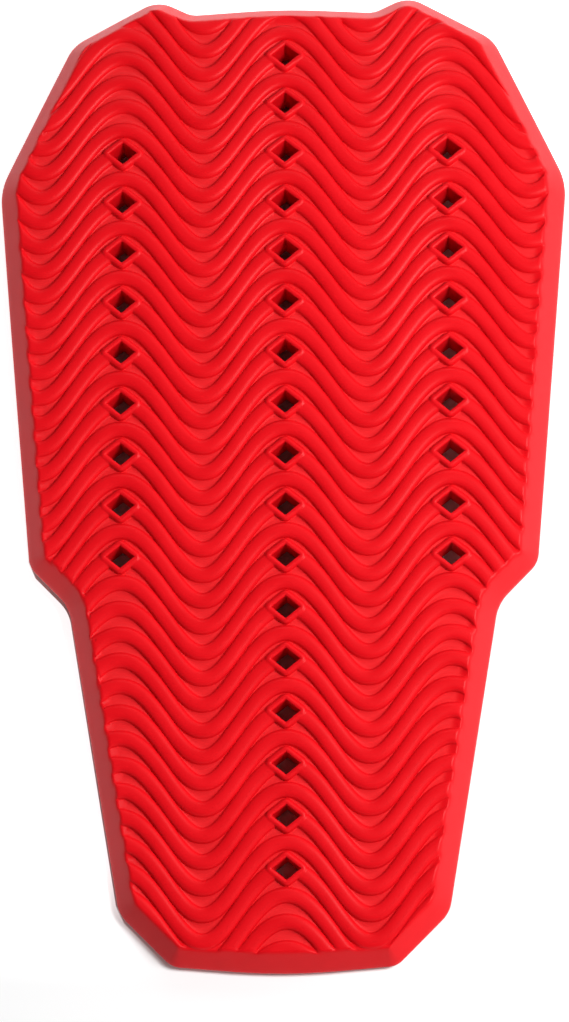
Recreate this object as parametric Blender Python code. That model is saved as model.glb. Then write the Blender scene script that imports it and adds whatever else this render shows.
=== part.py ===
"""Back protector insert: one moulded pad of soft foam rubber with a wave-ribbed outer face.

The pad is modelled flat. There x runs across it, y runs along the wearer's back from the waist
end to the neck end, and z is the height above the inner face. The last step bends the flat pad
a little, as the upper back needs, and sets it down on the two ends of its inner face.
"""
import math

import bmesh
import bpy

# Outline
PAD_LENGTH = 0.458
PAD_WIDTH = 0.2628

# Heights above the inner face
FLOOR_THICKNESS = 0.0137
RIB_HEIGHT = 0.0022
COLLAR_HEIGHT = 0.0026
EDGE_THICKNESS = 0.0050

# Rim
RIM_WIDTH = 0.0090
INNER_EDGE_BEVEL = 0.0014
OUTER_EDGE_BEVEL = 0.0010

# Wave ribs
WAVE_LENGTH = 0.0750
WAVE_HEIGHT = 0.0322
WAVE_BLUNTNESS = 0.0018
RIB_PITCH = 0.01178
RIB_WIDTH = 0.0079
RIB_CROWN_WIDTH = 0.0046
CREVICE_WIDTH = 0.0008

# Vents
VENT_WIDTH = 0.0130
VENT_LENGTH = 0.0100
VENT_DRAFT = 0.0010
COLLAR_WALL = 0.0017
COLLAR_SLOPE = 0.0009
FIRST_VENT_OFFSET = 0.0471
NECK_VENT_MARGIN = 0.0210
SHOULDER_VENT_RISE = 0.0200

# How far the waves and the vents lie to the right of the outline's middle
PATTERN_SHIFT = 0.0016

# Bend of the upper back
BEND_RADIUS = 1.45
BEND_START = 0.2500

# How finely curves are cut
ARC_STEP = math.radians(16)
BEND_STEP = 0.0190
OVERCUT = 0.0040
RIM_OVERCUT = 0.0016
SMALLEST_FILLET = 0.1
MERGE_DISTANCE = 1e-6

# Corners of the right half of the outline, from the waist end round to the neck end. The width
# column is a share of half the pad's width, the length column a share of its length, and the
# fillet column a share of its width.
CORNERS = (
    # name, width, length, fillet
    ("waist_end_centre", 0.000, 0.0000, 1.140),
    ("waist_end_corner", 0.384, 0.0092, 0.038),
    ("hip_corner", 0.565, 0.0607, 0.057),
    ("lower_waist", 0.743, 0.3653, 0.076),
    ("upper_waist", 0.882, 0.4057, 0.046),
    ("widest", 1.000, 0.7948, 0.114),
    ("shoulder", 0.750, 0.9504, 0.070),
    ("neck_lobe", 0.449, 1.0000, 0.053),
    ("neck_dip", 0.327, 0.9823, 0.046),
    ("neck_centre", 0.000, 0.9880, 1.140),
)

# Where each half wave is cut into straight pieces, in degrees of its cosine
WAVE_CUTS = (0, 27, 60, 120, 153)

WAVE_NUMBER = 2 * math.pi / WAVE_LENGTH
CROWN_LEVEL = FLOOR_THICKNESS + RIB_HEIGHT
COLLAR_LEVEL = FLOOR_THICKNESS + COLLAR_HEIGHT
VENT_PITCH = 2 * RIB_PITCH


def corner_along(name):
    """Place along the pad of one named corner."""
    lengths = {corner: length for corner, _, length, _ in CORNERS}
    return lengths[name] * PAD_LENGTH


def closed_corners():
    """Corners of the whole outline, counter-clockwise, as x, y and fillet radius."""
    right = [(w * PAD_WIDTH / 2, l * PAD_LENGTH, f * PAD_WIDTH) for _, w, l, f in CORNERS]
    left = [(-x, y, radius) for x, y, radius in right[-2:0:-1]]
    return right + left


def unit(ax, ay, bx, by):
    """Unit vector from a to b."""
    length = math.hypot(bx - ax, by - ay)
    return (bx - ax) / length, (by - ay) / length


def outline_ring(inset):
    """Filleted outline, moved inwards by the inset, with the same number of points each time."""
    corners = closed_corners()
    count = len(corners)
    moved = []
    for i, (x, y, radius) in enumerate(corners):
        before = corners[i - 1]
        after = corners[(i + 1) % count]
        ux, uy = unit(before[0], before[1], x, y)
        vx, vy = unit(x, y, after[0], after[1])
        turn = math.atan2(ux * vy - uy * vx, ux * vx + uy * vy)
        reach = inset / math.cos(turn / 2)
        nx, ny = -(uy + vy), ux + vx
        size = math.hypot(nx, ny)
        moved.append((x + nx / size * reach, y + ny / size * reach, radius, turn))
    ring = []
    for i, (x, y, radius, turn) in enumerate(moved):
        before = moved[i - 1]
        after = moved[(i + 1) % count]
        ux, uy = unit(before[0], before[1], x, y)
        vx, vy = unit(x, y, after[0], after[1])
        side = math.copysign(1.0, turn)
        rounding = max(radius - side * inset, radius * SMALLEST_FILLET)
        tangent = rounding * math.tan(abs(turn) / 2)
        steps = max(1, math.ceil(abs(turn) / ARC_STEP))
        cx = x - ux * tangent - uy * side * rounding
        cy = y - uy * tangent + ux * side * rounding
        start = math.atan2(-ux * side, uy * side)
        for step in range(steps + 1):
            angle = start + turn * step / steps
            ring.append((cx + rounding * math.cos(angle), cy + rounding * math.sin(angle)))
    return ring


def new_object(name, mesh_builder):
    """Object with the name, whose mesh is the bmesh that the builder returns."""
    bm = mesh_builder()
    bmesh.ops.recalc_face_normals(bm, faces=bm.faces)
    mesh = bpy.data.meshes.new(name)
    bm.to_mesh(mesh)
    bm.free()
    obj = bpy.data.objects.new(name, mesh)
    bpy.context.scene.collection.objects.link(obj)
    return obj


def bridge(bm, lower, upper):
    """Quads between two loops of vertices of the same length."""
    count = len(lower)
    for i in range(count):
        j = (i + 1) % count
        bm.faces.new((lower[i], lower[j], upper[j], upper[i]))


def build_blank():
    """Plain pad with its sloped rim, a little higher than the ribs."""
    slope = (CROWN_LEVEL - EDGE_THICKNESS) / (RIM_WIDTH - OUTER_EDGE_BEVEL)
    sections = (
        # inset, height
        (INNER_EDGE_BEVEL, 0.0),
        (0.0, INNER_EDGE_BEVEL),
        (0.0, EDGE_THICKNESS - OUTER_EDGE_BEVEL),
        (OUTER_EDGE_BEVEL, EDGE_THICKNESS),
        (RIM_WIDTH + RIM_OVERCUT, CROWN_LEVEL + RIM_OVERCUT * slope),
    )
    bm = bmesh.new()
    rings = []
    for inset, height in sections:
        rings.append([bm.verts.new((x, y, height)) for x, y in outline_ring(inset)])
    for lower, upper in zip(rings, rings[1:]):
        bridge(bm, lower, upper)
    bm.faces.new(rings[0])
    bm.faces.new(rings[-1])
    station = BEND_START
    while station < PAD_LENGTH - BEND_STEP / 2:
        geometry = bm.verts[:] + bm.edges[:] + bm.faces[:]
        bmesh.ops.bisect_plane(bm, geom=geometry, dist=MERGE_DISTANCE, plane_co=(0, station, 0),
                               plane_no=(0, 1, 0))
        station += BEND_STEP
    return bm


def wave_columns():
    """Places across the pad where the waves are cut, from left to right."""
    reach = PAD_WIDTH / 2 + OVERCUT
    half_waves = math.ceil((reach + PATTERN_SHIFT) / (WAVE_LENGTH / 2))
    places = []
    for half in range(-half_waves, half_waves):
        places += [PATTERN_SHIFT + (half + cut / 180) * WAVE_LENGTH / 2 for cut in WAVE_CUTS]
    inside = [x for x in places if abs(x) < reach - OVERCUT / 2]
    return [-reach] + inside + [reach]


def wave(x):
    """Place of a rib's centre line along the pad, from its crest, and its incline there."""
    phase = WAVE_NUMBER * (x - PATTERN_SHIFT)
    place = WAVE_BLUNTNESS * math.sin(phase) ** 2 - WAVE_HEIGHT / 2 * (1 - math.cos(phase))
    incline = WAVE_NUMBER * (WAVE_BLUNTNESS * math.sin(2 * phase) - WAVE_HEIGHT / 2 * math.sin(phase))
    return place, incline


def rib_rows():
    """Offsets of the rib centre lines along the pad, enough to cover it at both ends."""
    first = -math.ceil((FIRST_VENT_OFFSET + WAVE_HEIGHT) / RIB_PITCH)
    last = math.ceil((PAD_LENGTH - FIRST_VENT_OFFSET + WAVE_HEIGHT) / RIB_PITCH)
    return [FIRST_VENT_OFFSET + row * RIB_PITCH for row in range(first, last + 1)]


def build_relief():
    """Slab that carries the wave ribs on its top, wider and longer than the pad."""
    columns = wave_columns()
    widest_foot = (RIB_PITCH - CREVICE_WIDTH) / 2
    bm = bmesh.new()
    lines = []
    for row in rib_rows():
        for side, width, height in ((-1, RIB_WIDTH, FLOOR_THICKNESS),
                                    (-1, RIB_CROWN_WIDTH, CROWN_LEVEL),
                                    (1, RIB_CROWN_WIDTH, CROWN_LEVEL),
                                    (1, RIB_WIDTH, FLOOR_THICKNESS)):
            line = []
            for x in columns:
                place, incline = wave(x)
                foot = min(RIB_WIDTH / 2 * math.hypot(1, incline), widest_foot)
                offset = foot * width / RIB_WIDTH
                line.append(bm.verts.new((x, row + place + side * offset, height)))
            lines.append(line)
    for near, far in zip(lines, lines[1:]):
        for i in range(len(columns) - 1):
            bm.faces.new((near[i], near[i + 1], far[i + 1], far[i]))
    edges = [edge for edge in bm.edges if edge.is_boundary]
    walls = bmesh.ops.extrude_edge_only(bm, edges=edges)["geom"]
    lowered = [item for item in walls if isinstance(item, bmesh.types.BMVert)]
    for vert in lowered:
        vert.co.z = -OVERCUT
    open_edges = [edge for edge in bm.edges if edge.is_boundary]
    bmesh.ops.edgeloop_fill(bm, edges=open_edges)
    return bm


def vent_places():
    """Centres of the vents: one full middle column and two shorter side columns."""
    neck = corner_along("neck_centre") - NECK_VENT_MARGIN
    waist = corner_along("upper_waist")
    shoulder = corner_along("widest") + SHOULDER_VENT_RISE
    places = []
    y = FIRST_VENT_OFFSET
    while y <= neck:
        places.append((PATTERN_SHIFT, y))
        if waist <= y <= shoulder:
            places.append((PATTERN_SHIFT - WAVE_LENGTH, y))
            places.append((PATTERN_SHIFT + WAVE_LENGTH, y))
        y += VENT_PITCH
    return places


def add_diamond(bm, place, levels):
    """Closed diamond tower at a place, with half width, half length and height at each level."""
    x, y = place
    rings = []
    for half_width, half_length, height in levels:
        points = ((half_width, 0), (0, half_length), (-half_width, 0), (0, -half_length))
        rings.append([bm.verts.new((x + dx, y + dy, height)) for dx, dy in points])
    for lower, upper in zip(rings, rings[1:]):
        bridge(bm, lower, upper)
    bm.faces.new(rings[0])
    bm.faces.new(rings[-1])


def diamond_level(margin, height):
    """One level of a diamond whose sides lie a margin outside the vent's sides."""
    incline = math.atan2(VENT_LENGTH, VENT_WIDTH)
    return (VENT_WIDTH / 2 + margin / math.sin(incline),
            VENT_LENGTH / 2 + margin / math.cos(incline), height)


def build_collars():
    """Raised diamond collars round the vents, rooted in the floor between the ribs."""
    bm = bmesh.new()
    levels = (
        diamond_level(COLLAR_WALL + COLLAR_SLOPE, FLOOR_THICKNESS - OVERCUT / 2),
        diamond_level(COLLAR_WALL + COLLAR_SLOPE, FLOOR_THICKNESS),
        diamond_level(COLLAR_WALL, COLLAR_LEVEL),
    )
    for place in vent_places():
        add_diamond(bm, place, levels)
    return bm


def build_vents():
    """Cutters of the vents, wide at the outer face and narrower at the inner face."""
    bm = bmesh.new()
    draft = VENT_DRAFT / COLLAR_LEVEL
    levels = (
        diamond_level(-VENT_DRAFT - draft * OVERCUT, -OVERCUT),
        diamond_level(draft * OVERCUT, COLLAR_LEVEL + OVERCUT),
    )
    for place in vent_places():
        add_diamond(bm, place, levels)
    return bm


def add_boolean(obj, cutter, operation):
    """Boolean modifier, whose other body is hidden and drawn as wire."""
    modifier = obj.modifiers.new(cutter.name, "BOOLEAN")
    modifier.operation = operation
    modifier.object = cutter
    modifier.solver = "EXACT"
    cutter.hide_render = True
    cutter.display_type = "WIRE"


def lean_on_floor():
    """Touching place of the waist end, and the lean that brings both ends down to the floor."""
    places = [y for _, y in outline_ring(INNER_EDGE_BEVEL)]
    heel = min(places)
    neck_angle = (max(places) - BEND_START) / BEND_RADIUS
    drop = BEND_RADIUS * (1 - math.cos(neck_angle))
    run = BEND_START + BEND_RADIUS * math.sin(neck_angle) - heel
    return heel, math.atan2(drop, run)


def bent(flat, heel, lean):
    """Place in the bent pad of a point of the flat pad, lying on both ends of its inner face."""
    x, along, up = flat
    if along > BEND_START:
        angle = (along - BEND_START) / BEND_RADIUS
        reach = BEND_RADIUS + up
        along = BEND_START + reach * math.sin(angle)
        up = reach * math.cos(angle) - BEND_RADIUS
    along -= heel
    return (x, along * math.cos(lean) - up * math.sin(lean),
            along * math.sin(lean) + up * math.cos(lean))


def bend_mesh(obj):
    """Evaluated mesh of the flat pad, bent, triangulated and centred over the origin."""
    bpy.context.view_layer.update()
    graph = bpy.context.evaluated_depsgraph_get()
    mesh = bpy.data.meshes.new_from_object(obj.evaluated_get(graph))
    heel, lean = lean_on_floor()
    bm = bmesh.new()
    bm.from_mesh(mesh)
    bmesh.ops.triangulate(bm, faces=bm.faces)
    for vert in bm.verts:
        vert.co = bent(vert.co, heel, lean)
    nearest = min(vert.co.y for vert in bm.verts)
    farthest = max(vert.co.y for vert in bm.verts)
    lowest = min(vert.co.z for vert in bm.verts)
    for vert in bm.verts:
        vert.co.y -= (nearest + farthest) / 2
        vert.co.z -= lowest
    bm.to_mesh(mesh)
    bm.free()
    return mesh


def pad_material():
    """Matt red foam rubber."""
    material = bpy.data.materials.new("red_foam_rubber")
    material.use_nodes = True
    shader = material.node_tree.nodes["Principled BSDF"]
    shader.inputs["Base Color"].default_value = (0.80, 0.010, 0.016, 1.0)
    shader.inputs["Roughness"].default_value = 0.55
    shader.inputs["Metallic"].default_value = 0.0
    return material


def build_pad():
    """The whole pad: ribbed slab, collars, rim and vents in one body."""
    flat = new_object("flat_pad", build_relief)
    add_boolean(flat, new_object("collar_blocks", build_collars), "UNION")
    add_boolean(flat, new_object("rim_blank", build_blank), "INTERSECT")
    add_boolean(flat, new_object("vent_cutters", build_vents), "DIFFERENCE")
    mesh = bend_mesh(flat)
    flat.hide_render = True
    flat.display_type = "WIRE"
    mesh.name = "protector_pad"
    mesh.materials.clear()
    mesh.materials.append(pad_material())
    mesh.shade_smooth()
    mesh.set_sharp_from_angle(angle=math.radians(30))
    pad = bpy.data.objects.new("protector_pad", mesh)
    bpy.context.scene.collection.objects.link(pad)


def main():
    for obj in list(bpy.data.objects):
        bpy.data.objects.remove(obj, do_unlink=True)
    build_pad()


main()
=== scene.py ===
"""Looks of the back protector insert: a moulded red foam rubber pad with wave ribs and vents.

The pad's surface is worked out flat, as a height over the inner face. It is cut into triangles
along the ribs, the collars and the rim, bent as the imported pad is, and laid over it.
"""
import math

import bmesh
import bpy
import numpy as np
from mathutils import Matrix, Vector
from mathutils.geometry import delaunay_2d_cdt


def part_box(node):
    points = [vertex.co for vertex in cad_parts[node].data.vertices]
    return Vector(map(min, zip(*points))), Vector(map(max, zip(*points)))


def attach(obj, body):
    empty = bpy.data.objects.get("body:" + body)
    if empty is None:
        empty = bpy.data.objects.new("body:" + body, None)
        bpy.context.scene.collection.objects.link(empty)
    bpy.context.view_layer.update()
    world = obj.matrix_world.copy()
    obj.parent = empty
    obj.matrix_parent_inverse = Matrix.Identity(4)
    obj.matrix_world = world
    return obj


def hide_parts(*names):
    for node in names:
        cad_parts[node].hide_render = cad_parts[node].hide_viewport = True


# Outline
PAD_LENGTH = 0.458
PAD_WIDTH = 0.2628
CORNERS = (
    # name, width, length, fillet, as shares of half the width, the length and the width
    ("waist_end_centre", 0.000, 0.0000, 1.140),
    ("waist_end_corner", 0.384, 0.0092, 0.038),
    ("hip_corner", 0.565, 0.0607, 0.057),
    ("lower_waist", 0.743, 0.3653, 0.076),
    ("upper_waist", 0.882, 0.4057, 0.046),
    ("widest", 1.000, 0.7948, 0.114),
    ("shoulder", 0.750, 0.9504, 0.070),
    ("neck_lobe", 0.449, 1.0000, 0.053),
    ("neck_dip", 0.327, 0.9823, 0.046),
    ("neck_centre", 0.000, 0.9880, 1.140),
)
ARC_STEP = math.radians(4)
EDGE_STEP = 0.0030

# Heights above the inner face
FLOOR_LEVEL = 0.0137
CROWN_LEVEL = 0.0159
COLLAR_LEVEL = 0.0162
WALL_LEVEL = 0.0036

# Rim
RIM_SLOPE = 1.36
RIM_FOOT = 0.0041
RIM_ROUNDING = 0.0004
RIM_BLEND = 0.0012
INNER_EDGE_RADIUS = 0.0014
GROOVE_END_INSET = 0.0068
GROOVE_END_RUN = 0.0055
GROOVE_END_DEPTH = 0.40
RELIEF_INSET = 0.0076
RIM_INSETS = (0.0, 0.0002, 0.0006, 0.0013, 0.0026, 0.0042, 0.0058, 0.0070, 0.0078, 0.0084,
              0.0090, 0.0096, 0.0103, 0.0111, 0.0120, 0.0128)

# Wave ribs
WAVE_LENGTH = 0.0750
WAVE_HEIGHT = 0.0322
WAVE_BLUNTNESS = 0.0018
RIB_PITCH = 0.01178
RIB_WIDTH = 0.0073
RIB_SQUARENESS = 3.0
FOOT_BLEND = 0.0002
# Height above the floor level over which the painted sheen on the crescent floors fades out
SHEEN_FADE_RISE = 0.0004
RIB_LINES = (0.0, 0.28, 0.50, 0.68, 0.82, 0.92, 0.98, 1.04)
COLUMNS_PER_HALF_WAVE = 20
CREST_CROWDING = 0.45

# Vents
VENT_WIDTH = 0.0130
VENT_LENGTH = 0.0100
VENT_DRAFT = 0.0010
LIP_RADIUS = 0.0010
COLLAR_TOP = 0.0013
COLLAR_FOOT = 0.0030
COLLAR_BLEND = 0.0008
COLLAR_LOOPS = (0.0, 0.00012, 0.0004, 0.0008, 0.0013, 0.0017, 0.0021, 0.0024, 0.0027, 0.0029,
                0.0031, 0.0034)
LOOP_STEPS = 8
CORNER_STEPS = 3
LINE_CLEARANCE = 0.0006
FIRST_VENT_OFFSET = 0.0471
NECK_VENT_MARGIN = 0.0210
SHOULDER_VENT_RISE = 0.0200
PATTERN_SHIFT = 0.0016

# Bend of the upper back
BEND_RADIUS = 1.45
BEND_START = 0.2500

# Camera, as fitted to the places of the vents in the photograph
CAMERA_DISTANCE = 1.70
CAMERA_ELEVATION = math.radians(78.44)
CAMERA_AZIMUTH = math.radians(12.85)
CAMERA_ROLL = math.radians(-0.08)
CAMERA_TARGET = (0.0008, -0.0184, 0.0120)
CAMERA_LENS = 131.4
SENSOR_SIZE = 36.0

# Foam rubber
DEEP_RED = (0.63, 0.0030, 0.0070, 1.0)
BRIGHT_RED = (0.69, 0.0042, 0.0088, 1.0)
# Paler, whiter red painted on the crescent floors between the ribs: a painted sheen
SHEEN_PAINTED_RED = (0.72, 0.0170, 0.0210, 1.0)
FOAM_SPECULAR = 0.105

# Floor and light
FLOOR_REACH = 6.0
FLOOR_GAP = 0.001
FLOOR_GLOW = 0.85
GLOW_START = -0.235
GLOW_FULL = -0.170
WORLD_STRENGTH = 1.25
OVERHEAD_LIGHT = 0.03
LEFT_LIGHT = 0.35

WAVE_NUMBER = 2 * math.pi / WAVE_LENGTH
VENT_PITCH = 2 * RIB_PITCH


def unit(ax, ay, bx, by):
    """Unit vector from a to b."""
    length = math.hypot(bx - ax, by - ay)
    return (bx - ax) / length, (by - ay) / length


def outline_ring(inset):
    """Filleted outline, moved inwards by the inset, counter-clockwise."""
    right = [(w * PAD_WIDTH / 2, l * PAD_LENGTH, f * PAD_WIDTH) for _, w, l, f in CORNERS]
    corners = right + [(-x, y, radius) for x, y, radius in right[-2:0:-1]]
    count = len(corners)
    moved = []
    for i, (x, y, radius) in enumerate(corners):
        before = corners[i - 1]
        after = corners[(i + 1) % count]
        ux, uy = unit(before[0], before[1], x, y)
        vx, vy = unit(x, y, after[0], after[1])
        turn = math.atan2(ux * vy - uy * vx, ux * vx + uy * vy)
        reach = inset / math.cos(turn / 2)
        nx, ny = -(uy + vy), ux + vx
        size = math.hypot(nx, ny)
        moved.append((x + nx / size * reach, y + ny / size * reach, radius, turn))
    ring = []
    for i, (x, y, radius, turn) in enumerate(moved):
        before = moved[i - 1]
        after = moved[(i + 1) % count]
        ux, uy = unit(before[0], before[1], x, y)
        vx, vy = unit(x, y, after[0], after[1])
        side = math.copysign(1.0, turn)
        bend = max(radius - side * inset, radius * 0.1)
        tangent = bend * math.tan(abs(turn) / 2)
        steps = max(1, math.ceil(abs(turn) / ARC_STEP), math.ceil(abs(turn) * bend / EDGE_STEP))
        cx = x - ux * tangent - uy * side * bend
        cy = y - uy * tangent + ux * side * bend
        start = math.atan2(-ux * side, uy * side)
        for step in range(steps + 1):
            angle = start + turn * step / steps
            ring.append((cx + bend * math.cos(angle), cy + bend * math.sin(angle)))
    return np.array(filled(ring))


def filled(ring):
    """The ring with more points along its long straight edges."""
    points = []
    for i, (ax, ay) in enumerate(ring):
        bx, by = ring[(i + 1) % len(ring)]
        steps = max(1, math.ceil(math.hypot(bx - ax, by - ay) / EDGE_STEP))
        for step in range(steps):
            share = step / steps
            points.append((ax + (bx - ax) * share, ay + (by - ay) * share))
    return points


def outline_distance(x, y):
    """Distance inside the outline, negative outside it."""
    ring = outline_ring(0.0)
    nearest = np.full(x.shape, np.inf)
    inside = np.zeros(x.shape, bool)
    for (ax, ay), (bx, by) in zip(ring, np.roll(ring, -1, axis=0)):
        dx, dy = bx - ax, by - ay
        share = np.clip(((x - ax) * dx + (y - ay) * dy) / (dx * dx + dy * dy), 0, 1)
        nearest = np.minimum(nearest, np.hypot(x - ax - share * dx, y - ay - share * dy))
        if ay != by:
            crossing = (ay > y) != (by > y)
            inside ^= crossing & (x < ax + (y - ay) / dy * dx)
    return np.where(inside, nearest, -nearest)


def vent_places():
    """Centres of the vents: one full middle column and two shorter side columns."""
    lengths = {name: length * PAD_LENGTH for name, _, length, _ in CORNERS}
    neck = lengths["neck_centre"] - NECK_VENT_MARGIN
    waist = lengths["upper_waist"]
    shoulder = lengths["widest"] + SHOULDER_VENT_RISE
    places = []
    y = FIRST_VENT_OFFSET
    while y <= neck:
        places.append((PATTERN_SHIFT, y))
        if waist <= y <= shoulder:
            places.append((PATTERN_SHIFT - WAVE_LENGTH, y))
            places.append((PATTERN_SHIFT + WAVE_LENGTH, y))
        y += VENT_PITCH
    return places


def diamond_distance(x, y, half_width, half_length):
    """Distance outside a diamond round the origin, negative inside it."""
    x, y = np.abs(x), np.abs(y)
    square = half_width ** 2 + half_length ** 2
    share = np.clip((y * half_length - (x - half_width) * half_width) / square, 0, 1)
    distance = np.hypot(x - half_width * (1 - share), y - half_length * share)
    return np.where(x / half_width + y / half_length > 1, distance, -distance)


def vent_distance(x, y):
    """Distance outside the nearest vent's mouth, negative inside it."""
    nearest = np.full(x.shape, np.inf)
    for place_x, place_y in vent_places():
        distance = diamond_distance(x - place_x, y - place_y, VENT_WIDTH / 2, VENT_LENGTH / 2)
        nearest = np.minimum(nearest, distance)
    return nearest


def wave(x):
    """Place along the pad of a rib's centre line, from its crest."""
    phase = WAVE_NUMBER * (x - PATTERN_SHIFT)
    return WAVE_BLUNTNESS * np.sin(phase) ** 2 - WAVE_HEIGHT / 2 * (1 - np.cos(phase))


def wave_stretch(x):
    """How much longer a rib's width is along the pad than across the rib."""
    phase = WAVE_NUMBER * (x - PATTERN_SHIFT)
    incline = WAVE_NUMBER * (WAVE_BLUNTNESS * np.sin(2 * phase) - WAVE_HEIGHT / 2 * np.sin(phase))
    return np.hypot(1, incline)


def smooth_max(a, b, blend):
    """The larger of two heights, with a fillet where they meet."""
    share = np.maximum(blend - np.abs(a - b), 0) / blend
    return np.maximum(a, b) + share ** 2 * blend / 4


def smooth_min(a, b, blend):
    """The smaller of two heights, with a rounding where they meet."""
    return -smooth_max(-a, -b, blend)


def rib_height(x, y):
    """Height of the ribs, below the floor between them."""
    along = y - FIRST_VENT_OFFSET - wave(x)
    off = along - RIB_PITCH * np.round(along / RIB_PITCH)
    share = np.minimum(np.abs(off) / wave_stretch(x) / (RIB_WIDTH / 2), 1)
    rise = CROWN_LEVEL - FLOOR_LEVEL + FOOT_BLEND
    dome = (1 - share ** RIB_SQUARENESS) ** (1 / 2)
    return FLOOR_LEVEL - FOOT_BLEND + rise * dome


def collar_height(margin):
    """Height of the collars, by the distance from the vent's mouth."""
    lip = np.clip(1 - margin / LIP_RADIUS, 0, 1)
    fall = np.clip((margin - COLLAR_TOP) / (COLLAR_FOOT - COLLAR_TOP), 0, 1)
    rise = COLLAR_LEVEL - FLOOR_LEVEL + FOOT_BLEND
    top = COLLAR_LEVEL - LIP_RADIUS * (1 - np.sqrt(1 - lip ** 2))
    return top - rise * (1 - np.sqrt(1 - fall ** 2))


def rim_height(inset):
    """Height of the sloped rim, by the distance from the outline."""
    start = RIM_FOOT - WALL_LEVEL
    return RIM_FOOT + RIM_SLOPE * inset - start * np.exp(-inset / RIM_ROUNDING)


def surface_height(x, y):
    """Height of the outer face over the inner face."""
    inset = outline_distance(x, y)
    ribs = smooth_max(rib_height(x, y), FLOOR_LEVEL, FOOT_BLEND)
    run = np.clip((inset - GROOVE_END_INSET) / GROOVE_END_RUN, 0, 1)
    share = GROOVE_END_DEPTH + (1 - GROOVE_END_DEPTH) * run
    ribs = CROWN_LEVEL - (CROWN_LEVEL - ribs) * share
    relief = smooth_max(ribs, collar_height(vent_distance(x, y)), COLLAR_BLEND)
    return smooth_min(relief, rim_height(inset), RIM_BLEND)


class Plan:
    """Points and lines in the plane of the pad, from which its faces are cut."""

    def __init__(self):
        self.points = []
        self.edges = []

    def line(self, points):
        """Adds an open line and returns the numbers of its points."""
        first = len(self.points)
        self.points += [tuple(point) for point in points]
        numbers = list(range(first, len(self.points)))
        self.edges += list(zip(numbers, numbers[1:]))
        return numbers

    def loop(self, points):
        """Adds a closed line and returns the numbers of its points."""
        numbers = self.line(points)
        self.edges.append((numbers[-1], numbers[0]))
        return numbers

    def cut(self):
        """Triangles between the lines, with the given points first."""
        millimetres = [Vector((x * 1000, y * 1000)) for x, y in self.points]
        made = delaunay_2d_cdt(millimetres, self.edges, [], 0, 1e-4, True)
        points = np.array([tuple(point) for point in made[0]]) / 1000
        place = {}
        for number, sources in enumerate(made[3]):
            for source in sources:
                place[source] = number
        return points, made[2], place


def diamond_loop(place, margin):
    """Closed line round a vent, a margin outside its mouth, with rounded corners."""
    tips = ((VENT_WIDTH / 2, 0.0), (0.0, VENT_LENGTH / 2),
            (-VENT_WIDTH / 2, 0.0), (0.0, -VENT_LENGTH / 2))
    points = []
    for i, (ax, ay) in enumerate(tips):
        bx, by = tips[(i + 1) % 4]
        before = tips[i - 1]
        ux, uy = unit(before[0], before[1], ax, ay)
        vx, vy = unit(ax, ay, bx, by)
        start = math.atan2(-ux, uy)
        turn = math.atan2(ux * vy - uy * vx, ux * vx + uy * vy)
        corners = range(CORNER_STEPS + 1) if margin > 0 else (0,)
        for step in corners:
            angle = start + turn * step / CORNER_STEPS
            points.append((ax + margin * math.cos(angle), ay + margin * math.sin(angle)))
        for step in range(1, LOOP_STEPS):
            share = step / LOOP_STEPS
            points.append((ax + (bx - ax) * share + margin * vy,
                           ay + (by - ay) * share - margin * vx))
    return [(place[0] + x, place[1] + y) for x, y in points]


def wave_columns():
    """Places across the pad of the points of the rib lines, closer together at the crests."""
    half_waves = math.ceil(PAD_WIDTH / WAVE_LENGTH)
    shares = np.arange(-half_waves * COLUMNS_PER_HALF_WAVE, half_waves * COLUMNS_PER_HALF_WAVE + 1)
    turns = shares / COLUMNS_PER_HALF_WAVE
    crowded = turns - CREST_CROWDING * np.sin(2 * np.pi * turns) / (2 * np.pi)
    return PATTERN_SHIFT + crowded * WAVE_LENGTH / 2


def add_rib_lines(plan):
    """Lines along the ribs and the grooves, where they are clear of the rim and the vents."""
    columns = wave_columns()
    foot = np.minimum(RIB_WIDTH / 2 * wave_stretch(columns), RIB_PITCH / 2)
    first = -math.ceil((FIRST_VENT_OFFSET + WAVE_HEIGHT) / RIB_PITCH)
    last = math.ceil((PAD_LENGTH - FIRST_VENT_OFFSET + WAVE_HEIGHT) / RIB_PITCH)
    sides = [-share for share in RIB_LINES[:0:-1]] + list(RIB_LINES)
    lines = []
    for row in range(first, last + 1):
        centre = FIRST_VENT_OFFSET + row * RIB_PITCH + wave(columns)
        lines += [centre + np.clip(side * foot, -RIB_PITCH / 2, RIB_PITCH / 2) for side in sides]
        lines.append(centre + RIB_PITCH / 2)
    y = np.array(lines)
    x = np.broadcast_to(columns, y.shape)
    clear = (outline_distance(x, y) > RELIEF_INSET) & (vent_distance(x, y) > LINE_CLEARANCE)
    middle_x, middle_y = (x[:, 1:] + x[:, :-1]) / 2, (y[:, 1:] + y[:, :-1]) / 2
    joined = clear[:, 1:] & clear[:, :-1]
    joined &= vent_distance(middle_x, middle_y) > LINE_CLEARANCE / 2
    for row in range(len(lines)):
        run = []
        for i in np.flatnonzero(clear[row]):
            run.append((x[row, i], y[row, i]))
            if i == joined.shape[1] or not joined[row, i]:
                plan.line(run)
                run = []


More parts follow.
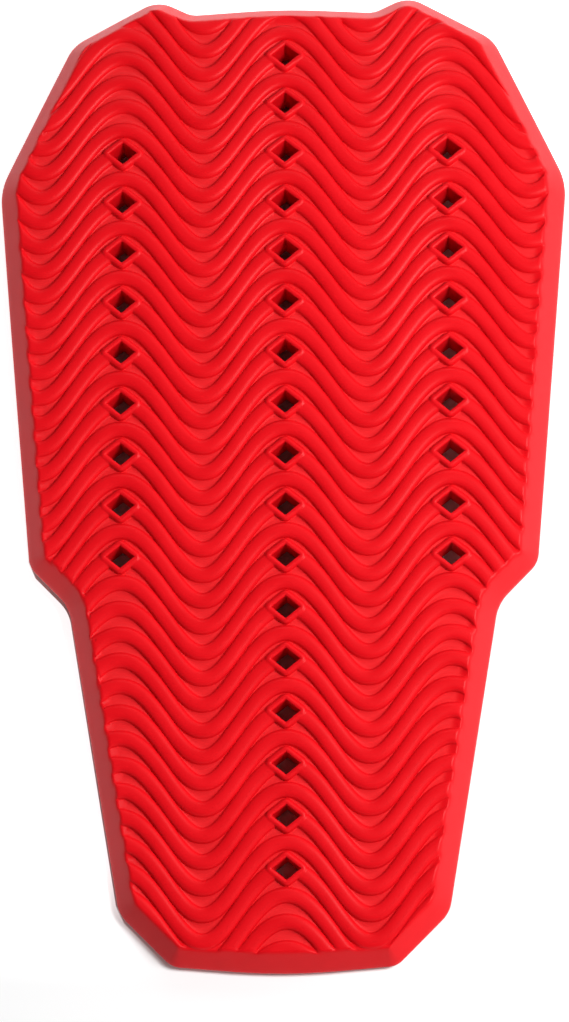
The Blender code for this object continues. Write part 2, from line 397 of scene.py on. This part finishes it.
def pad_mesh():
    """The pad, flat: outer face, edge, vents and inner face in one closed mesh."""
    outer = Plan()
    edge = outer.loop(outline_ring(0.0))
    for inset in RIM_INSETS[1:]:
        outer.loop(outline_ring(inset))
    mouths = []
    for place in vent_places():
        mouths.append(outer.loop(diamond_loop(place, 0.0)))
        for margin in COLLAR_LOOPS[1:]:
            outer.loop(diamond_loop(place, margin))
    add_rib_lines(outer)
    points, triangles, place_of = outer.cut()
    heights = surface_height(points[:, 0], points[:, 1])
    inset = outline_distance(points[:, 0], points[:, 1])
    # Share of painted sheen: full on the crescent floors, none on the ribs and collars or near the
    # rim
    sheen_share = np.clip(1 - (heights - FLOOR_LEVEL) / SHEEN_FADE_RISE, 0, 1)
    sheen_share[inset < GROOVE_END_INSET + GROOVE_END_RUN / 2] = 0

    bm = bmesh.new()
    verts = [bm.verts.new((x, y, z)) for (x, y), z in zip(points, heights)]
    rims = [[place_of[number] for number in loop] for loop in [edge] + mouths]
    owner = {number: rim for rim, loop in enumerate(rims) for number in loop}
    for face in triangles:
        owners = {owner.get(number) for number in face}
        if len(owners) > 1 or None in owners:
            bm.faces.new([verts[number] for number in face])

    inner = Plan()
    lower_loops = [inner.loop(outline_ring(INNER_EDGE_RADIUS))]
    inner.loop(outline_ring(INNER_EDGE_RADIUS + EDGE_STEP / 2))
    for place in vent_places():
        lower_loops.append(inner.loop(lower_mouth(place, 0.0)))
        inner.loop(lower_mouth(place, EDGE_STEP / 4))
    for y in np.arange(EDGE_STEP, PAD_LENGTH, 3 * EDGE_STEP):
        x = np.arange(-PAD_WIDTH / 2, PAD_WIDTH / 2, 3 * EDGE_STEP)
        clear = (outline_distance(x, x * 0 + y) > INNER_EDGE_RADIUS + EDGE_STEP)
        clear &= vent_distance(x, x * 0 + y) > EDGE_STEP / 2
        inner.points += [(px, y) for px in x[clear]]
    inner_points, inner_triangles, inner_place = inner.cut()
    inner_verts = [bm.verts.new((x, y, 0.0)) for x, y in inner_points]
    lower_rims = [[inner_place[number] for number in loop] for loop in lower_loops]
    lower_owner = {number: rim for rim, loop in enumerate(lower_rims) for number in loop}
    for face in inner_triangles:
        owners = {lower_owner.get(number) for number in face}
        if len(owners) > 1 or None in owners:
            bm.faces.new([inner_verts[number] for number in face])

    for rim, (upper, lower) in enumerate(zip(rims, lower_rims)):
        top = [verts[number] for number in upper]
        bottom = [inner_verts[number] for number in lower]
        if rim == 0:
            join_edge(bm, top, bottom)
        else:
            join_vent(bm, top, bottom)
    bmesh.ops.recalc_face_normals(bm, faces=bm.faces)
    return bm, sheen_share


def lower_mouth(place, margin):
    """Closed line of a vent's smaller mouth in the inner face."""
    shrink = 1 - 2 * VENT_DRAFT / VENT_LENGTH
    around = []
    for x, y in diamond_loop(place, 0.0):
        dx, dy = (x - place[0]) * shrink, (y - place[1]) * shrink
        grow = 1 + margin / (VENT_LENGTH / 2)
        around.append((place[0] + dx * grow, place[1] + dy * grow))
    return around


def bridge(bm, upper, lower):
    """Faces between two closed lines with as many points."""
    count = len(upper)
    for i in range(count):
        j = (i + 1) % count
        bm.faces.new((upper[i], upper[j], lower[j], lower[i]))


def join_edge(bm, top, bottom):
    """The pad's edge, rounded into the inner face."""
    rows = [top]
    for step in range(4):
        angle = step / 4 * math.pi / 2
        height = INNER_EDGE_RADIUS * (1 - math.sin(angle))
        inset = INNER_EDGE_RADIUS * (1 - math.cos(angle))
        share = inset / INNER_EDGE_RADIUS
        row = []
        for a, b in zip(top, bottom):
            row.append(bm.verts.new((a.co.x + (b.co.x - a.co.x) * share,
                                     a.co.y + (b.co.y - a.co.y) * share, height)))
        rows.append(row)
    rows.append(bottom)
    for upper, lower in zip(rows, rows[1:]):
        bridge(bm, upper, lower)


def join_vent(bm, top, bottom):
    """The four walls of a vent."""
    rows = [top]
    for share in (0.06, 0.5, 0.97):
        row = []
        for a, b in zip(top, bottom):
            row.append(bm.verts.new(a.co.lerp(b.co, share)))
        rows.append(row)
    rows.append(bottom)
    for upper, lower in zip(rows, rows[1:]):
        bridge(bm, upper, lower)


def bend_points(flat):
    """Places in the bent pad of points of the flat pad, lying on both ends of the inner face."""
    along_ends = outline_ring(INNER_EDGE_RADIUS)[:, 1]
    heel = along_ends.min()
    neck_angle = (along_ends.max() - BEND_START) / BEND_RADIUS
    drop = BEND_RADIUS * (1 - math.cos(neck_angle))
    run = BEND_START + BEND_RADIUS * math.sin(neck_angle) - heel
    lean = math.atan2(drop, run)
    x, along, up = flat.T
    angle = np.maximum(along - BEND_START, 0) / BEND_RADIUS
    straight = np.minimum(along, BEND_START) - heel
    along = straight + (BEND_RADIUS + up) * np.sin(angle)
    up = (BEND_RADIUS + up) * np.cos(angle) - BEND_RADIUS
    return np.stack([x, along * math.cos(lean) - up * math.sin(lean),
                     along * math.sin(lean) + up * math.cos(lean)], axis=1)


def build_pad():
    """The finished pad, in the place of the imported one."""
    bm, sheen_share = pad_mesh()
    mesh = bpy.data.meshes.new("foam_pad")
    bm.to_mesh(mesh)
    bm.free()
    # The painted sheen share is stored on the vertices for the material
    shares = np.zeros(len(mesh.vertices))
    shares[:len(sheen_share)] = sheen_share
    mesh.attributes.new("painted_sheen_floor", "FLOAT", "POINT").data.foreach_set("value", shares)
    flat = np.zeros(len(mesh.vertices) * 3)
    mesh.vertices.foreach_get("co", flat)
    bent = bend_points(flat.reshape(-1, 3))
    low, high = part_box("protector_pad")
    bent[:, 1] += (low.y + high.y) / 2 - (bent[:, 1].min() + bent[:, 1].max()) / 2
    bent[:, 2] += low.z - bent[:, 2].min()
    mesh.vertices.foreach_set("co", bent.ravel())
    mesh.update()
    mesh.shade_smooth()
    mesh.materials.append(foam_material())
    pad = bpy.data.objects.new("foam_pad", mesh)
    bpy.context.scene.collection.objects.link(pad)
    return pad


def new_material(name):
    """A node material, its nodes, its links and its shader."""
    material = bpy.data.materials.new(name)
    material.use_nodes = True
    tree = material.node_tree
    return material, tree, tree.nodes["Principled BSDF"]


def foam_material():
    """Red foam rubber with a fine moulded skin; the crescent floors get a paler red, a painted
    sheen.
    """
    material, tree, shader = new_material("red_foam_rubber")
    shader.inputs["Specular IOR Level"].default_value = FOAM_SPECULAR
    place = tree.nodes.new("ShaderNodeTexCoord")
    floors = tree.nodes.new("ShaderNodeAttribute")
    floors.attribute_name = "painted_sheen_floor"

    blotches = tree.nodes.new("ShaderNodeTexNoise")
    blotches.inputs["Scale"].default_value = 60.0
    blotches.inputs["Detail"].default_value = 5.0
    tree.links.new(place.outputs["Object"], blotches.inputs["Vector"])
    reds = tree.nodes.new("ShaderNodeValToRGB")
    reds.color_ramp.elements[0].position = 0.30
    reds.color_ramp.elements[0].color = DEEP_RED
    reds.color_ramp.elements[1].position = 0.70
    reds.color_ramp.elements[1].color = BRIGHT_RED
    tree.links.new(blotches.outputs["Fac"], reds.inputs["Fac"])
    # Painted sheen: the paler red is mixed in where the painted sheen share is set
    mix = tree.nodes.new("ShaderNodeMix")
    mix.data_type = "RGBA"
    mix.inputs["B"].default_value = SHEEN_PAINTED_RED
    tree.links.new(floors.outputs["Fac"], mix.inputs["Factor"])
    tree.links.new(reds.outputs["Color"], mix.inputs["A"])
    tree.links.new(mix.outputs["Result"], shader.inputs["Base Color"])

    gloss = tree.nodes.new("ShaderNodeMapRange")
    gloss.inputs["To Min"].default_value = 0.36
    gloss.inputs["To Max"].default_value = 0.43
    tree.links.new(blotches.outputs["Fac"], gloss.inputs["Value"])
    tree.links.new(gloss.outputs["Result"], shader.inputs["Roughness"])

    grain = tree.nodes.new("ShaderNodeTexNoise")
    grain.inputs["Scale"].default_value = 1800.0
    grain.inputs["Detail"].default_value = 3.0
    tree.links.new(place.outputs["Object"], grain.inputs["Vector"])
    bump = tree.nodes.new("ShaderNodeBump")
    bump.inputs["Strength"].default_value = 0.25
    bump.inputs["Distance"].default_value = 0.0002
    tree.links.new(grain.outputs["Fac"], bump.inputs["Height"])
    tree.links.new(bump.outputs["Normal"], shader.inputs["Normal"])
    return material


def floor_material(name, glow):
    """Matt white, with a glow that keeps it white beside the pad."""
    material, tree, shader = new_material(name)
    shader.inputs["Base Color"].default_value = (0.92, 0.92, 0.92, 1.0)
    shader.inputs["Roughness"].default_value = 0.9
    shader.inputs["Specular IOR Level"].default_value = 0.1
    shader.inputs["Emission Color"].default_value = (1.0, 1.0, 1.0, 1.0)
    place = tree.nodes.new("ShaderNodeTexCoord")
    split = tree.nodes.new("ShaderNodeSeparateXYZ")
    tree.links.new(place.outputs["Object"], split.inputs["Vector"])
    rise = tree.nodes.new("ShaderNodeMapRange")
    rise.interpolation_type = "SMOOTHSTEP"
    rise.inputs["From Min"].default_value = GLOW_START
    rise.inputs["From Max"].default_value = GLOW_FULL
    rise.inputs["To Max"].default_value = glow
    tree.links.new(split.outputs["Y"], rise.inputs["Value"])
    tree.links.new(rise.outputs["Result"], shader.inputs["Emission Strength"])
    return material


def build_floor():
    """Plain white floor: glowing beside the pad, but not under it or at its waist end."""
    cad_low, cad_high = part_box("protector_pad")
    plan = Plan()
    edge = outline_ring(-FLOOR_GAP) - (0.0, PAD_LENGTH / 2)
    plan.loop(edge)
    plan.loop([(-FLOOR_REACH, -FLOOR_REACH), (FLOOR_REACH, -FLOOR_REACH), (FLOOR_REACH, FLOOR_REACH),
               (-FLOOR_REACH, FLOOR_REACH)])
    points, triangles, _ = plan.cut()
    mesh = bpy.data.meshes.new("floor")
    mesh.from_pydata([(x, y, cad_low.z) for x, y in points], [], triangles)
    mesh.materials.append(floor_material("glowing_floor", FLOOR_GLOW))
    mesh.materials.append(floor_material("shaded_floor", 0.0))
    centres = np.array([face.center for face in mesh.polygons])
    covered = outline_distance(centres[:, 0], centres[:, 1] + PAD_LENGTH / 2) > -FLOOR_GAP / 2
    mesh.polygons.foreach_set("material_index", covered.astype(np.int32))
    floor = bpy.data.objects.new("floor", mesh)
    bpy.context.scene.collection.objects.link(floor)
    return floor


def build_world():
    """White surroundings, bright along the horizon, darker overhead and on the left."""
    world = bpy.data.worlds.new("studio")
    world.use_nodes = True
    tree = world.node_tree
    background = tree.nodes["Background"]
    background.inputs["Strength"].default_value = WORLD_STRENGTH
    place = tree.nodes.new("ShaderNodeTexCoord")
    split = tree.nodes.new("ShaderNodeSeparateXYZ")
    tree.links.new(place.outputs["Generated"], split.inputs["Vector"])
    height = tree.nodes.new("ShaderNodeMapRange")
    height.inputs["From Min"].default_value = 0.25
    height.inputs["From Max"].default_value = 0.80
    height.inputs["To Min"].default_value = 1.0
    height.inputs["To Max"].default_value = OVERHEAD_LIGHT
    tree.links.new(split.outputs["Z"], height.inputs["Value"])
    side = tree.nodes.new("ShaderNodeMapRange")
    side.inputs["From Min"].default_value = -0.8
    side.inputs["From Max"].default_value = 0.5
    side.inputs["To Min"].default_value = LEFT_LIGHT
    side.inputs["To Max"].default_value = 1.0
    tree.links.new(split.outputs["X"], side.inputs["Value"])
    product = tree.nodes.new("ShaderNodeMath")
    product.operation = "MULTIPLY"
    tree.links.new(height.outputs["Result"], product.inputs[0])
    tree.links.new(side.outputs["Result"], product.inputs[1])
    tree.links.new(product.outputs["Value"], background.inputs["Color"])
    bpy.context.scene.world = world


def aim(obj, target):
    """Turns a lamp so that it shines at the target."""
    direction = Vector(target) - obj.location
    obj.rotation_mode = "QUATERNION"
    obj.rotation_quaternion = direction.to_track_quat("-Z", "Y")


def build_lamp(name, place, size, power):
    """Square soft lamp aimed at the middle of the pad."""
    light = bpy.data.lights.new(name, "AREA")
    light.size = size
    light.energy = power
    lamp = bpy.data.objects.new(name, light)
    lamp.location = place
    bpy.context.scene.collection.objects.link(lamp)
    aim(lamp, (0, 0, 0))


def build_camera():
    """Camera nearly overhead, a little towards the waist end."""
    back = Vector((math.cos(CAMERA_ELEVATION) * math.sin(CAMERA_AZIMUTH),
                   -math.cos(CAMERA_ELEVATION) * math.cos(CAMERA_AZIMUTH),
                   math.sin(CAMERA_ELEVATION)))
    side = Vector((0, 1, 0)).cross(back).normalized()
    up = back.cross(side)
    turn = Matrix((side, up, back)).transposed().to_4x4()
    data = bpy.data.cameras.new("camera")
    data.sensor_width = SENSOR_SIZE
    data.lens = CAMERA_LENS
    data.clip_end = 20.0
    camera = bpy.data.objects.new("camera", data)
    place = Matrix.Translation(Vector(CAMERA_TARGET) + back * CAMERA_DISTANCE)
    camera.matrix_world = place @ turn @ Matrix.Rotation(CAMERA_ROLL, 4, "Z")
    bpy.context.scene.collection.objects.link(camera)
    bpy.context.scene.camera = camera


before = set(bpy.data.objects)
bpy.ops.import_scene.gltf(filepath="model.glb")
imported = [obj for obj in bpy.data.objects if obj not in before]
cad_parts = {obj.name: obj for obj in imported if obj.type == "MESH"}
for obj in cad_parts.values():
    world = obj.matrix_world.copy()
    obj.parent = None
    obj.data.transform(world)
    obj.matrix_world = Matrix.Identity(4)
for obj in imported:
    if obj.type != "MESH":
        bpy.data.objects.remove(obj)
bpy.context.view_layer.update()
bpy.context.scene.view_settings.view_transform = "Standard"
build_camera()
pad = build_pad()
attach(pad, "root")
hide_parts("protector_pad")
build_floor()
build_world()
build_lamp("key", (0.68, 0.02, 0.98), 0.35, 16.5)
build_lamp("back", (0.10, 1.50, 1.30), 0.6, 4.0)
